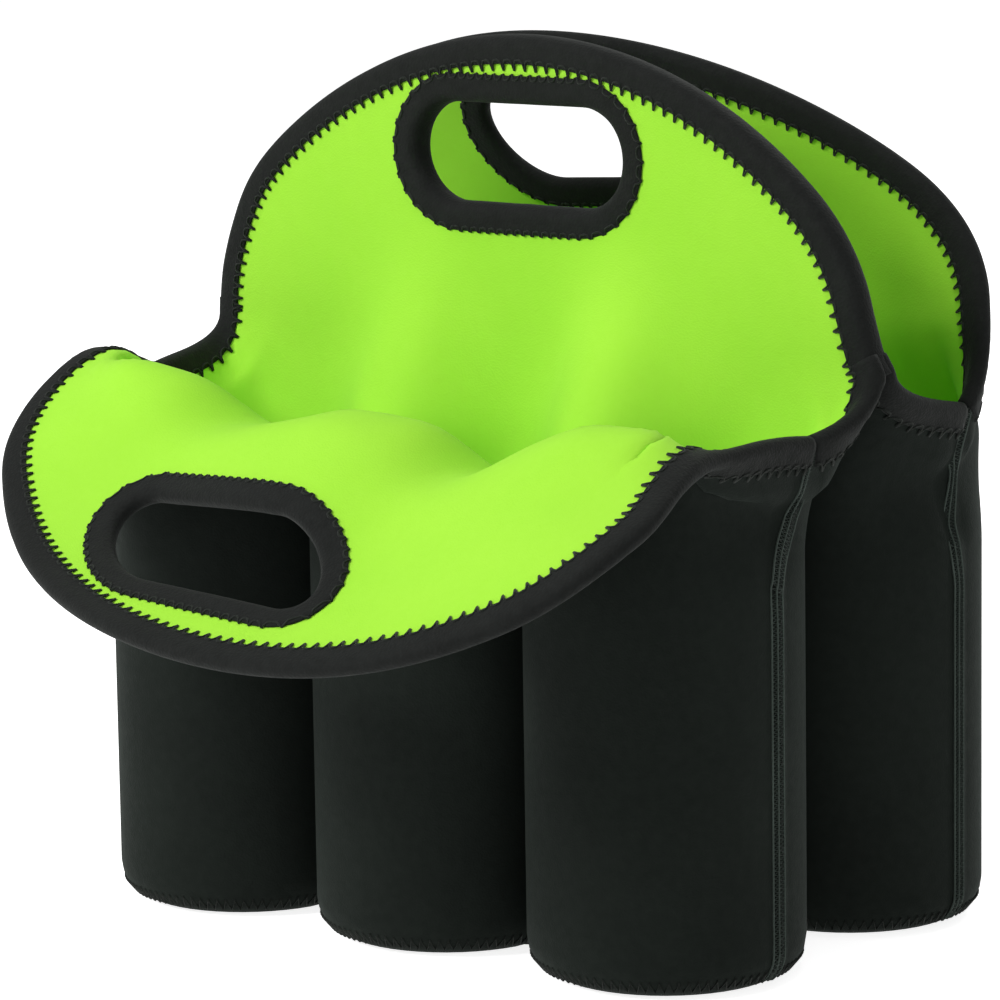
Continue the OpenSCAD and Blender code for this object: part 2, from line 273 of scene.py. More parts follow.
class Panel(Sheet):
    """One sheet of a row, with what shapes it above its straight wall.

    crest: (q, point, direction) that the sheet passes over; leaf: (q, (across, up, lift))
    where its flat petal starts; hips: curves from the petal's corners down to the notches;
    hip_in: the way into the sheet along them; turn: not used.
    """

    def __init__(self, name, row, side, surface, keys, seams, body, turn):
        self.name, self.row, self.side, self.surface = name, row, side, surface
        self.crest, self.leaf, self.hips, self.hip_in = keys
        self.seams, self.body, self.turn = seams, body, turn
        self.build()

    def hip(self, end, t):
        return bezier(*self.hips[end], t)

    def inward(self, end, t):
        return unit(flowing(self.hip_in[end], t)[0])

    def column(self, q):
        """Points up one column of the sheet, from the wall to its edge, and their flat places."""
        end = 1 if q > 1.5 else -1
        x, y = wall_place(self.row, self.side, q)
        reach = abs(q - 1.5)
        z = flowing([(0, 104), (0.5, SEAM_TOP), (1, 104), (1.2, 102), (1.5, 104)], reach)[0][0]
        up = np.array([0, 0, 1.0])
        if reach > 1.4999:
            keys = self.seams[end]
            zs = np.linspace(keys[0][0], keys[-1][0], 70)
            path = np.array([seam_point(keys, z) for z in zs])
            return path, np.stack([np.full(len(zs), 140.0 * end), zs - NOTCH_Z - 14], 1)
        start = np.array([x, y, z])
        over = flowing([(k[0], k[1]) for k in self.crest], q)[0]
        along = unit(flowing([(k[0], k[2]) for k in self.crest], q)[0])
        spots = [(0, HALF_OUTLINE), (0.5, 97), (1.0, 28), (CORNER - 1.5, 0), (1.5, -100)]
        beta = flowing(spots, reach)[0][0]
        if beta >= 0:
            a0, s0, lift = flowing(self.leaf, q)[0]
            a1, s1 = outline(beta, end)
            step = 1e-3
            leaf = self.surface(a0, s0)
            edge = self.surface(a1, s1)
            d0 = (self.surface(a0 + (a1 - a0) * step, s0 + (s1 - s0) * step) - leaf) / step
            d1 = (edge - self.surface(a1 - (a1 - a0) * step, s1 - (s1 - s0) * step)) / step
            leaf = leaf + self.sheet_normal(a0, s0) * lift
            flat0, flat1 = (a0, s0), (a1, s1)
        else:
            t = -beta / 100
            inward = self.inward(end, t)
            edge = self.hip(end, t)
            leaf = edge + inward * 14
            d0 = d1 = -inward * 14
            flat0, flat1 = (end * 128, 5 - 20 * t), (end * 142, 5 - 20 * t)
        n = 40
        l1 = np.linalg.norm(over - start)
        l2 = np.linalg.norm(leaf - over)
        parts = [
            span(start, up * l1, over, along * l1, n),
            span(over, along * l2, leaf, unit(d0) * l2, n),
            span(leaf, d0, edge, d1, n),
            edge[None],
        ]
        path = np.concatenate(parts)
        t = (np.arange(n) / n)[:, None]
        flat0, flat1 = np.array(flat0), np.array(flat1)
        below = flat0 + np.stack([np.zeros(2 * n), np.linspace(-60, 0, 2 * n, endpoint=False)], 1)
        return path, np.concatenate([below, flat0 + (flat1 - flat0) * t, flat1[None]])

    def sheet_normal(self, a, s):
        """The normal of the petal at a flat place, on its lime side for an open petal."""
        p = self.surface(a, s)
        n = unit(np.cross(self.surface(a + 0.1, s) - p, self.surface(a, s + 0.1) - p))
        return n * (-1 if self.name == "front_outer" else 1)

    def build(self):
        self.q = np.linspace(0, 3, 3 * ACROSS_STEPS + 1)
        rows = LOW_ROWS + TOP_ROWS + 1
        self.points = np.zeros((len(self.q), rows, 3))
        self.flat = np.zeros((len(self.q), rows, 2))
        for i, q in enumerate(self.q):
            path, flat = self.column(q)
            x, y = wall_place(self.row, self.side, q)
            centre = np.array([x if q in (1, 2) else (min(int(q), 2) - 1) * PITCH, self.row * ROW_Y])
            low = []
            for j in range(FOOT_ROWS):
                w = math.pi / 2 * j / FOOT_ROWS
                r = (FOOT_R + FOOT_ARC * math.sin(w)) / TUBE_R
                low.append([*(centre + (np.array([x, y]) - centre) * r), FOOT_H - FOOT_ARC * math.cos(w)])
            for j in range(WALL_ROWS):
                low.append([x, y, FOOT_H + (path[0][2] - FOOT_H) * j / WALL_ROWS])
            length = lengths(path)
            at = np.linspace(0, length[-1], TOP_ROWS + 1)
            self.points[i] = np.concatenate([np.array(low), along_path(at, length, path)])
            self.flat[i, LOW_ROWS:] = along_path(at, length, flat)
            self.flat[i, :LOW_ROWS] = self.flat[i, LOW_ROWS, 0], -200
        self.relax()

    def relax(self):
        """Evens the upper sheet out a little, as foam does; walls and edges stay.

        The inner sheets are drawn smooth in y too, away from their edges and ends.
        """
        first = LOW_ROWS + 1
        p = self.points
        for _ in range(6):
            for amount in (0.5, -0.52):
                mean = p.copy()
                mean[1:-1, 1:-1] = (p[2:, 1:-1] + p[:-2, 1:-1] + p[1:-1, 2:] + p[1:-1, :-2]) / 4
                move = (mean - p) * amount
                fade = np.clip((np.arange(p.shape[1]) - first) / 6, 0, 1)[None, :, None]
                p[1:-1, first:-1] += (move * fade)[1:-1, first:-1]
        if self.body == "middle_petal":
            y = p[:, :, 1]
            row, column = np.arange(p.shape[1])[None], np.arange(p.shape[0])[:, None]
            fade = np.clip((row - first) / 10, 0, 1) * np.clip((p.shape[1] - 9 - row) / 8, 0, 1)
            fade = fade * np.clip((np.minimum(column, p.shape[0] - 1 - column) - 12) / 8, 0, 1)
            for _ in range(40):
                mean = (y[2:, 1:-1] + y[:-2, 1:-1] + y[1:-1, 2:] + y[1:-1, :-2]) / 4
                y[1:-1, 1:-1] += (mean - y[1:-1, 1:-1]) * 0.5 * fade[1:-1, 1:-1]


# Crest, start of the petal and hips of each panel; q counts pockets from the left
def front_keys():
    crest = [
        (0.0, (-106.5, -38.5, 124), (-0.1, 0.1, 1)),
        (0.2, (-101, -60, 145), (-0.4, -0.1, 0.9)),
        (0.36, (-92, -74, 152), (-0.7, -0.5, 0.5)),
        (0.5, (-79, -79, 153), (-0.2, -0.97, 0.1)),
        (0.72, (-61, -76, 150), (-0.2, -0.97, 0.1)),
        (1.0, (-38, -68, 136.5), (-0.2, -0.95, 0.2)),
        (1.5, (4, -80, 145.5), (0.0, -0.98, -0.1)),
        (1.72, (22, -76, 143.5), (0.0, -0.98, 0.0)),
        (2.0, (43, -66, 129.5), (0.0, -0.97, 0.2)),
        (2.25, (64, -75, 142), (0.0, -0.98, 0.0)),
        (2.5, (88, -82, 148.5), (0.12, -0.98, -0.1)),
        (2.64, (102, -78, 148), (0.5, -0.8, 0.1)),
        (2.8, (103, -64, 136), (0.3, -0.1, 0.93)),
        (3.0, (106.5, -32, 121), (0.1, 0.1, 1)),
    ]
    leaf = [(0.36, (-103, 19, 0)), (0.5, (-88, 27, 0)), (1.0, (-53, 38, -5)), (1.5, (0, 22, 0)),
            (2.0, (36, 35, -6)), (2.5, (88, 24, 0)), (2.64, (103, 19, 0))]
    right = front_surface(PETAL_HALF, WIDE_AT)
    left = front_surface(-PETAL_HALF, WIDE_AT)
    hips = {
        1: [right, right + np.array([-4.5, 24, 13]), (113, -52, 146.5), notch(FRONT_SEAM)],
        -1: [left, left + np.array([-1, 12, 4.0]), (-114, -50, 148), notch(FRONT_LEFT_SEAM)],
    }
    hip_in = {
        1: [(0, -FRONT_A), (0.2, (-0.8, 0.25, 0.5)), (0.36, (-0.85, 0.15, 0.3)),
            (0.52, (-0.6, 0.05, -0.8)), (1, (0, 0, -1))],
        -1: [(0, FRONT_A), (0.5, (0.85, -0.4, 0.1)), (0.8, (0.7, -0.3, -0.2)), (1, (0, 0, -1))],
    }
    return crest, leaf, hips, hip_in


def inner_keys(row):
    """The panels that meet in the doubled petal; row is -1 in front and 1 behind."""
    seams = {-1: FRONT_LEFT_SEAM, 1: FRONT_SEAM} if row < 0 else {-1: REAR_LEFT_SEAM, 1: REAR_SEAM}
    seam_y = 32.0 if row < 0 else 36.0
    crest = [
        (0.0, (-106.5, row * 38.5, 124), (-0.1, 0, 1)),
        (0.2, (-104, row * 17, 133), (-0.3, -row * 0.3, 0.9)),
        (0.36, (-96, row * 5, 135), (-0.25, -row * 0.05, 0.95)),
        (0.5, (-77, row * 3.5, 130), (-0.1, -row * 0.03, 1)),
        (1.0, (-38, row * 27, 136), (-0.03, -row * 0.45, 0.9)),
        (1.5, (0, row * 3.5, 130), (0, -row * 0.03, 1)),
        (2.0, (38, row * 33, 137), (0.03, -row * 0.45, 0.9)),
        (2.5, (77, row * 3.5, 130), (0.1, -row * 0.03, 1)),
        (2.64, (96, row * 5, 135), (0.25, -row * 0.05, 0.95)),
        (2.8, (104, row * 17, 130), (0.3, -row * 0.3, 0.9)),
        (3.0, (106.5, row * seam_y, 121), (0.1, 0, 1)),
    ]
    leaf = [(0.36, (-103, 19, 0)), (0.5, (-84, 16, 0)), (1.0, (-42, 50, 0)), (1.5, (0, 14, 0)),
            (2.0, (42, 50, 0)), (2.5, (84, 16, 0)), (2.64, (103, 19, 0))]
    hips = {}
    for end, keys in seams.items():
        top = np.array([end * PETAL_HALF, row * HALF_PAIR, NOTCH_Z + WIDE_AT])
        low = np.array(notch(keys))
        hips[end] = [top, top + np.array([0, row, -9]), low + np.array([end * 1.5, -row * 14, 2.5]), low]
    hip_in = {end: [(0, (-end, 0, 0)), (0.45, (-end * 0.6, 0, -0.8)), (1, (0, 0, -1))] for end in (-1, 1)}
    return crest, leaf, hips, hip_in


def rear_keys():
    crest = [
        (0.0, (-107, 40.5, 124), (-0.05, 0, 1)),
        (0.2, (-103, 58, 131), (-0.15, -0.1, 0.98)),
        (0.36, (-97, 67, 132), (-0.15, -0.2, 0.96)),
        (0.5, (-78, 72, 130), (-0.1, -0.2, 1)),
        (1.0, (-38, 60, 132), (-0.1, 0.5, 0.85)),
        (1.5, (0, 75.3, 130), (0, -0.1, 1)),
        (2.0, (38, 60, 132), (0.1, 0.5, 0.85)),
        (2.5, (76, 72, 130), (0.1, -0.2, 1)),
        (2.64, (95, 67, 132), (0.15, -0.2, 0.96)),
        (2.8, (103, 58, 131), (0.15, -0.1, 0.98)),
        (3.0, (107, 40.5, 124), (0.05, 0, 1)),
    ]
    leaf = [(0.36, (-103, 19, 0)), (0.5, (-86, 18, 0)), (1.0, (-44, 24, 0)), (1.5, (0, 14, 0)),
            (2.0, (44, 24, 0)), (2.5, (86, 18, 0)), (2.64, (103, 19, 0))]
    hips, hip_in = {}, {}
    for end, keys in ((1, REAR_SEAM), (-1, REAR_LEFT_SEAM)):
        top = rear_surface(end * PETAL_HALF, WIDE_AT)
        low = np.array(notch(keys))
        hips[end] = [top, top + np.array([0.5 * end, 0, -7]), low + np.array([0, 5, 4]), low]
        hip_in[end] = [(0, (-end, 0.3, 0)), (0.5, (-end * 0.5, 0.4, -0.7)), (1, (0, 0, -1))]
    return crest, leaf, hips, hip_in


SHEETS = {}


def cut_sheets():
    """Makes the four panels."""
    front = {1: FRONT_SEAM, -1: FRONT_LEFT_SEAM}
    rear = {1: REAR_SEAM, -1: REAR_LEFT_SEAM}
    over_front = ((0, -72, 117), (0, -99, 132.7))
    over_middle = ((0, 0, 127), (0, 0, 172))
    over_rear = ((0, 76, 131), (0, 73, 158))
    for values in (
        ("front_outer", -1, -1, front_surface, front_keys(), front, "front_petal", over_front),
        ("front_inner", -1, 1, middle_surface(-1), inner_keys(-1), front, "middle_petal", over_middle),
        ("rear_inner", 1, -1, middle_surface(1), inner_keys(1), rear, "middle_petal", over_middle),
        ("rear_outer", 1, 1, rear_surface, rear_keys(), rear, "rear_petal", over_rear),
    ):
        SHEETS[values[0]] = Panel(*values)
        SHEETS[values[0]].cover = Cover(SHEETS[values[0]])


class Cover:
    """Finds places on a sheet: by a point near it, or by a flat place on its petal."""

    def __init__(self, sheet):
        n, m = sheet.points.shape[:2]
        self.points, self.normals = sheet.points.reshape(-1, 3), sheet.normals().reshape(-1, 3)
        at = np.arange(n * m).reshape(n, m)
        self.faces = []
        for i in range(n - 1):
            for j in range(m - 1):
                a, b, c, d = at[i, j], at[i + 1, j], at[i + 1, j + 1], at[i, j + 1]
                self.faces += [(a, b, c), (a, c, d)]
        self.tree = BVHTree.FromPolygons(self.points.tolist(), self.faces)
        first = LOW_ROWS + 8
        self.flat_points = np.concatenate([sheet.flat.reshape(-1, 2), np.zeros((n * m, 1))], 1)
        self.flat_faces = [f for f in self.faces if min(k % m for k in f) >= first
                           and np.abs(self.flat_points[list(f), 0]).max() < PETAL_HALF + 1]
        self.flat_tree = BVHTree.FromPolygons(self.flat_points.tolist(), self.flat_faces)

    def shares(self, corners, p):
        """How much each corner of a triangle counts at a point in it."""
        a, b, c = corners
        v0, v1, v2 = b - a, c - a, p - a
        d00, d01, d11 = v0 @ v0, v0 @ v1, v1 @ v1
        d20, d21 = v2 @ v0, v2 @ v1
        den = max(d00 * d11 - d01 * d01, 1e-12)
        v, w = (d11 * d20 - d01 * d21) / den, (d00 * d21 - d01 * d20) / den
        return np.array([1 - v - w, v, w])

    def near(self, p):
        hit, _, k, _ = self.tree.find_nearest(Vector(p))
        f = list(self.faces[k])
        s = self.shares(self.points[f], np.array(hit))
        return s @ self.points[f], unit(s @ self.normals[f])

    def at(self, a, s):
        hit, _, k, _ = self.flat_tree.find_nearest(Vector((a, s, 0)))
        f = list(self.flat_faces[k])
        w = self.shares(self.flat_points[f], np.array(hit))
        return w @ self.points[f], unit(w @ self.normals[f])


class Hole:
    """Where a hand hole lies in its petal. The soft petal draws it out of square."""

    def __init__(self, across=HOLE_X, up=HOLE_AT, turn=0.0, skew=0.0, longer=1.0, lower=1.0):
        c, w = math.cos(math.radians(turn)), math.sin(math.radians(turn))
        self.middle = np.array([across, up])
        self.way = np.array([[c * longer, (skew - w) * lower], [w * longer, c * lower]])
        self.back = np.linalg.inv(self.way)

    def place(self, x, y):
        return self.middle + self.way @ np.array([x, y])

    def nearest(self, flat):
        x, y = self.back @ (np.asarray(flat) - self.middle)
        half = HOLE_HALF - HOLE_R
        axis = max(-half, min(half, x))
        return axis, x - axis, y

    def gap(self, flat, r):
        """Signed distance of a flat place outside the hole, out to half its height r."""
        _, dx, dy = self.nearest(flat)
        return math.hypot(dx, dy) - r

    def edge(self, flat, r):
        """The place at distance r from the axis of the hole, next to a flat place."""
        axis, dx, dy = self.nearest(flat)
        v = unit([dx, dy]) if math.hypot(dx, dy) > 1e-6 else np.array([0, 1.0])
        return self.place(axis + v[0] * r, v[1] * r)


HOLES = {
    "front_outer": Hole(-8.4, 63.9, -5.5, 0.75, 1.045, 0.95),
    "front_inner": Hole(-1.0, 68.5, 0, 0, 1.02, 0.97),
    "rear_inner": Hole(-1.0, 68.5, 0, 0, 1.02, 0.97),
    "rear_outer": Hole(0.5, 69.0, 3.0),
}


def add_piece(name, points, faces, material, sheet=None):
    """A piece that rides on the carrier, or that stays unattached where it lies on its sheet."""
    mesh = bpy.data.meshes.new(name)
    mesh.from_pydata([tuple(p * MM) for p in np.asarray(points, float)], [], faces)
    mesh.validate()
    mesh.update()
    mesh.materials.append(material)
    mesh.polygons.foreach_set("use_smooth", [True] * len(mesh.polygons))
    obj = bpy.data.objects.new(name, mesh)
    bpy.context.scene.collection.objects.link(obj)
    if sheet:
        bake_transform(obj)
    else:
        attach(obj, "carrier")
    return obj


def open_grid(sheet):
    """The sheet's grid with its edge drawn in under the tape and its hand hole opened."""
    p, flat = sheet.points.copy(), sheet.flat
    n, m = p.shape[:2]
    for i in range(n):
        length = lengths(sheet.points[i])
        drawn = 3.2 if sheet.body == "middle_petal" and 0.3 < sheet.q[i] < 2.7 else 1.4
        at = length - drawn * np.clip((np.arange(m) - (m - 13)) / 12, 0, 1)
        p[i] = along_path(at, length, sheet.points[i])
    keep = np.ones((n - 1, m - 1), bool)
    hole, r = HOLES[sheet.name], HOLE_R + 2.0
    for i in range(n - 1):
        for j in range(LOW_ROWS, m - 1):
            centre = (flat[i, j] + flat[i + 1, j] + flat[i + 1, j + 1] + flat[i, j + 1]) / 4
            if abs(centre[0]) < 70 and hole.gap(centre, r) < 0:
                keep[i, j] = False
    rim = set()
    for i, j in np.argwhere(~keep).tolist():
        rim.update([(i, j), (i + 1, j), (i + 1, j + 1), (i, j + 1)])
    for i, j in rim:
        if keep[i - 1 : i + 1, j - 1 : j + 1].any():
            p[i, j] = sheet.cover.at(*hole.edge(flat[i, j], r))[0]
    return p, keep


def ply(name, sheet, low, high, material):
    """A closed layer of a sheet, from depth low to depth high out of its lime face."""
    p, keep = open_grid(sheet)
    normal = sheet.normals()
    n, m = p.shape[:2]
    inner = p + normal * (low - HALF_SHEET)
    outer = p + normal * (high - HALF_SHEET)
    points = np.concatenate([inner.reshape(-1, 3), outer.reshape(-1, 3)])
    at = np.arange(n * m).reshape(n, m)
    faces, edges = [], []
    for i, j in np.argwhere(keep).tolist():
        quad = [at[i, j], at[i + 1, j], at[i + 1, j + 1], at[i, j + 1]]
        if sheet.side > 0:
            quad = quad[::-1]
        faces.append([k + n * m for k in quad])
        faces.append(quad[::-1])
        edges += zip(quad, quad[1:] + quad[:1])
    known = set(edges)
    for a, b in edges:
        if (b, a) not in known:
            faces.append([a + n * m, b + n * m, b, a])
    used = sorted({k for f in faces for k in f})
    number = {k: i for i, k in enumerate(used)}
    faces = [[number[k] for k in f] for f in faces]
    return add_piece(name, points[used], faces, material, sheet)


def swept(rings, closed=False):
    """Points and faces of a section swept along a path, capped at its ends unless it is closed."""
    count, n = len(rings), len(rings[0])
    faces = []
    for i in range(count if closed else count - 1):
        a, b = i * n, (i + 1) % count * n
        for j in range(n):
            k = (j + 1) % n
            faces.append([a + j, a + k, b + k, b + j])
    if not closed:
        faces.append(list(range(n))[::-1])
        faces.append([(count - 1) * n + j for j in range(n)])
    return np.concatenate(rings), faces


def thread(paths, radius, sides=5):
    """Round threads along several lists of points, as one mesh."""
    points, faces, base = [], [], 0
    for path in paths:
        path = np.asarray(path, float)
        ahead = unit(np.gradient(path, axis=0))
        ref = np.array([0.31, 0.53, 0.79])
        u = unit(np.cross(ahead, ref))
        v = np.cross(ahead, u)
        w = np.linspace(0, 2 * math.pi, sides, endpoint=False)[:, None]
        p, f = swept([c + radius * (np.cos(w) * a + np.sin(w) * b) for c, a, b in zip(path, u, v)])
        points.append(p)
        faces += [[k + base for k in face] for face in f]
        base += len(p)
    return np.concatenate(points), faces


def resample(path, step):
    """Points about step apart on a smooth curve through the path's points."""
    path = np.asarray(path, float)
    length = lengths(path)
    n = max(2, int(round(length[-1] / step)) + 1)
    at = np.linspace(0, length[-1], n)
    dense = np.interp(at, length, np.arange(len(path)))
    out = []
    for d in dense:
        i = min(int(d), len(path) - 2)
        t = d - i
        p0, p1, p2, p3 = path[max(i - 1, 0)], path[i], path[i + 1], path[min(i + 2, len(path) - 1)]
        out.append(0.5 * (2 * p1 + (p2 - p0) * t + (2 * p0 - 5 * p1 + 4 * p2 - p3) * t * t
                          + (3 * p1 - 3 * p2 + p3 - p0) * t**3))
    return np.array(out)


def rim_frames(edge, cover, closed=False):
    """Along an edge: the way across it on the sheet, and the sheet's normal."""
    if closed:
        ahead = unit(np.roll(edge, -1, 0) - np.roll(edge, 1, 0))
    else:
        ahead = unit(np.gradient(edge, axis=0))
    normal = np.array([cover.near(p)[1] for p in edge])
    normal = unit(normal - ahead * (normal * ahead).sum(1, keepdims=True))
    return np.cross(normal, ahead), normal


def soften(values, times, closed=False):
    """Evens out values along an edge."""
    for _ in range(times):
        if closed:
            values = (np.roll(values, 1, 0) + 2 * values + np.roll(values, -1, 0)) / 4
        else:
            values[1:-1] = (values[2:] + 2 * values[1:-1] + values[:-2]) / 4
    return values


class Binding:
    """A tape folded over an edge. It gives places on the sheet next to that edge."""

    def __init__(self, edge, cover, into, half, width, closed=False):
        self.edge, self.cover, self.half, self.width, self.closed = edge, cover, half, width, closed
        self.inward, self.normal = rim_frames(edge, cover, closed)
        if (self.inward * into).sum() < 0:
            self.inward = -self.inward
        self.inward = unit(soften(self.inward, 6, closed))
        self.normal = unit(soften(self.normal, 6, closed))
        self.length = lengths(np.concatenate([edge, edge[:1]]) if closed else edge)
        self.layers = {}

    def layer(self, d):
        """Points and normals of the sheet at distance d in from the edge."""
        if d not in self.layers:
            points, normals = [], []
            for e, w, n in zip(self.edge, self.inward, self.normal):
                p = e + w * d
                if d > 1.2:
                    p, n = self.cover.near(p)
                points.append(p)
                normals.append(n)
            normals = unit(soften(np.array(normals), 3, self.closed))
            if self.closed:
                points, normals = points + [points[0]], np.concatenate([normals, normals[:1]])
            self.layers[d] = (np.array(points), np.array(normals))
        return self.layers[d]

    def place(self, at, d, h):
        """Points at distances along the tape, d in from its fold and h off the sheet's middle."""
        points, normals = self.layer(d)
        return along_path(at, self.length, points) + unit(along_path(at, self.length, normals)) * h

    def section(self):
        """The tape's closed section, as (distance in, height off the middle of the sheet)."""
        t, w, inside = self.half, self.width, self.half - 0.7
        upper = [(w, inside + 0.1), (w, t - 0.25), (w - 0.4, t), (w - 1.6, t + 0.12), (w * 0.55, t + 0.02),
                 (2.6, t + 0.06), (1.3, t * 0.86), (0.45, t * 0.55), (0.08, t * 0.22)]
        lower = [(d, -h) for d, h in upper[::-1]]
        slot = [(w - 0.2, -inside), (2.2, -inside), (2.2, inside), (w - 0.2, inside)]
        return upper + lower + slot

    def mesh(self):
        at = self.length[:-1] if self.closed else self.length
        return swept(np.stack([self.place(at, d, h) for d, h in self.section()], 1), self.closed)

    def zigzag(self, face, pitch, reach, sheet_half):
        """A thread that crosses the tape's inner edge and shows as teeth on the sheet."""
        w, t, stop = self.width, self.half, self.length[-1]
        # One stitch, as (part of its length, distance in from the fold, height)
        stitch = [(0.0, w - 1.2, t + 0.12), (0.25, w - 1.0, t + 0.12), (0.4, w + 0.1, t - 0.1),
                  (0.48, w + reach, sheet_half + 0.2), (0.52, w + reach, sheet_half + 0.2),
                  (0.6, w + 0.1, t - 0.1), (0.75, w - 1.0, t + 0.12)]
        inner_ring = 2 * math.pi * w if self.closed else 0
        count = int((stop + inner_ring) / pitch)
        step = stop / count
        places = [(k * step + ds * step, d, h) for k in range(count + 1) for ds, d, h in stitch]
        return [self.place(np.array([s]), d, face * h)[0] for s, d, h in places if s <= stop]


def add_node(tree, kind, links=(), values=(), **settings):
    """A shader node with its settings, the values of its inputs and what is linked to them."""
    node = tree.nodes.new("ShaderNode" + kind)
    for key, value in settings.items():
        setattr(node, key, value)
    for key, value in dict(values).items():
        node.inputs[key].default_value = value
    for key, socket in dict(links).items():
        tree.links.new(socket, node.inputs[key])
    return node


def knit_group():
    """Fine jersey: small loops in rows, uneven dye and a little lint."""
    group = bpy.data.node_groups.get("Knit face")
    if group:
        return group
    group = bpy.data.node_groups.new("Knit face", "ShaderNodeTree")
    for name, kind, value in (
        ("Colour", "Color", (0.5, 0.5, 0.5, 1)), ("Shade", "Color", (0.3, 0.3, 0.3, 1)),
        ("Loop size", "Float", 1.0), ("Mottling", "Float", 0.3),
    ):
        made = group.interface.new_socket(name=name, in_out="INPUT", socket_type="NodeSocket" + kind)
        made.default_value = value
    for name, kind in (("Colour", "Color"), ("Height", "Float"), ("Roughness", "Float")):
        group.interface.new_socket(name=name, in_out="OUTPUT", socket_type="NodeSocket" + kind)
    given = group.nodes.new("NodeGroupInput").outputs
    out = group.nodes.new("NodeGroupOutput")
    place = add_node(group, "TexCoord").outputs["Object"]

    size = add_node(group, "Math", {1: given["Loop size"]}, {0: 1500}, operation="DIVIDE")
    loops = add_node(group, "TexVoronoi", {"Vector": place, "Scale": size.outputs[0]})
    fibre = add_node(group, "TexNoise", {"Vector": place}, {"Scale": 2600, "Detail": 3})
    cloud = add_node(group, "TexNoise", {"Vector": place}, {"Scale": 26, "Detail": 4, "Roughness": 0.55})
    grain = add_node(group, "TexNoise", {"Vector": place}, {"Scale": 420, "Detail": 2})

    height = add_node(group, "Math", {0: fibre.outputs["Fac"], 2: loops.outputs["Distance"]}, {1: 0.5},
                      operation="MULTIPLY_ADD")
    spread = add_node(group, "MapRange", {"Value": cloud.outputs["Fac"]},
                      {"From Min": 0.32, "From Max": 0.68})
    mixed = add_node(group, "Math", {0: grain.outputs["Fac"], 2: spread.outputs["Result"]}, {1: 0.55},
                     operation="MULTIPLY_ADD")
    amount = add_node(group, "Math", {0: mixed.outputs[0], 1: given["Mottling"]},
                      operation="MULTIPLY", use_clamp=True)
    blend = add_node(group, "Mix", {"Factor": amount.outputs[0], 6: given["Colour"], 7: given["Shade"]},
                     data_type="RGBA")
    rough = add_node(group, "MapRange", {"Value": grain.outputs["Fac"]}, {"To Min": 0.72, "To Max": 0.95})
    group.links.new(blend.outputs[2], out.inputs["Colour"])
    group.links.new(height.outputs[0], out.inputs["Height"])
    group.links.new(rough.outputs["Result"], out.inputs["Roughness"])
    return group


def fabric(name, colour, shade, loop, mottling, bump, sheen, sheen_tint, specular=0.25):
    material = bpy.data.materials.get(name)
    if material:
        return material
    material = bpy.data.materials.new(name)
    material.use_nodes = True
    material.diffuse_color = (*colour, 1)
    tree = material.node_tree
    knit = add_node(tree, "Group", node_tree=knit_group(), values={
        "Colour": (*colour, 1), "Shade": (*shade, 1), "Loop size": loop, "Mottling": mottling})
    relief = add_node(tree, "Bump", {"Height": knit.outputs["Height"]},
                      {"Strength": bump, "Distance": 0.0002})
    face = tree.nodes["Principled BSDF"].inputs
    tree.links.new(knit.outputs["Colour"], face["Base Color"])
    tree.links.new(knit.outputs["Roughness"], face["Roughness"])
    tree.links.new(relief.outputs["Normal"], face["Normal"])
    face["Specular IOR Level"].default_value = specular
    face["Sheen Weight"].default_value = sheen
    face["Sheen Roughness"].default_value = 0.5
    face["Sheen Tint"].default_value = (*sheen_tint, 1)
    return material


def scaled(colour, amount):
    return tuple(c * amount for c in colour)


def black_face(colours):
    c = tuple(colours.body)
    return fabric("Black neoprene face", c, scaled(c, 0.6), 0.9, 0.6, 0.35, 0.05, (0.75, 0.9, 0.8), 0.12)


def lime_face(colours):
    c = tuple(colours.lining)
    deep = (c[0] * 0.84, c[1] * 0.93, c[2] * 0.75)
    return fabric("Lime jersey lining", c, deep, 0.8, 0.35, 0.25, 0.08, (0.9, 1, 0.7))


def tape_face(colours):
    c = tuple(colours.tape)
    return fabric("Edge tape knit", c, scaled(c, 0.55), 1.2, 0.7, 0.6, 0.07, (0.8, 0.86, 0.8), 0.2)


def thread_face(colours, seam=False):
    c = tuple(colours.seam if seam else colours.thread)
    name = "Seam thread" if seam else "Tape thread"
    return fabric(name, c, scaled(c, 0.6), 0.6, 0.6, 0.4, 0.1, (0.8, 0.85, 0.8), 0.35)


class CarrierSizes(bpy.types.PropertyGroup):
    sheet_depth: bpy.props.FloatProperty(
        name="Sheet", description="Thickness of the foam sheet with both its faces", default=0.0035,
        min=0.002, max=0.005, precision=4, subtype="DISTANCE", unit="LENGTH")
    lining_depth: bpy.props.FloatProperty(
        name="Lining", description="Thickness of the lime jersey", default=0.00075,
        min=0.0003, max=0.0015, precision=5, subtype="DISTANCE", unit="LENGTH")
    tape_width: bpy.props.FloatProperty(
        name="Tape width", description="Width of one face of the folded tape", default=0.008,
        min=0.005, max=0.011, precision=4, subtype="DISTANCE", unit="LENGTH")
    tape_depth: bpy.props.FloatProperty(
        name="Tape thickness", description="Thickness of one layer of the tape", default=0.00075,
        min=0.0004, max=0.0015, precision=5, subtype="DISTANCE", unit="LENGTH")
    stitch_pitch: bpy.props.FloatProperty(
        name="Zigzag pitch", description="Length of one zigzag stitch along the tapes", default=0.0040,
        min=0.002, max=0.008, precision=4, subtype="DISTANCE", unit="LENGTH")
    stitch_reach: bpy.props.FloatProperty(
        name="Zigzag reach", description="How far a stitch reaches past the tape onto the sheet",
        default=0.0018, min=0.0005, max=0.004, precision=4, subtype="DISTANCE", unit="LENGTH")
    thread_radius: bpy.props.FloatProperty(
        name="Thread radius", description="Radius of the sewing thread", default=0.00032,
        min=0.0001, max=0.0008, precision=5, subtype="DISTANCE", unit="LENGTH")


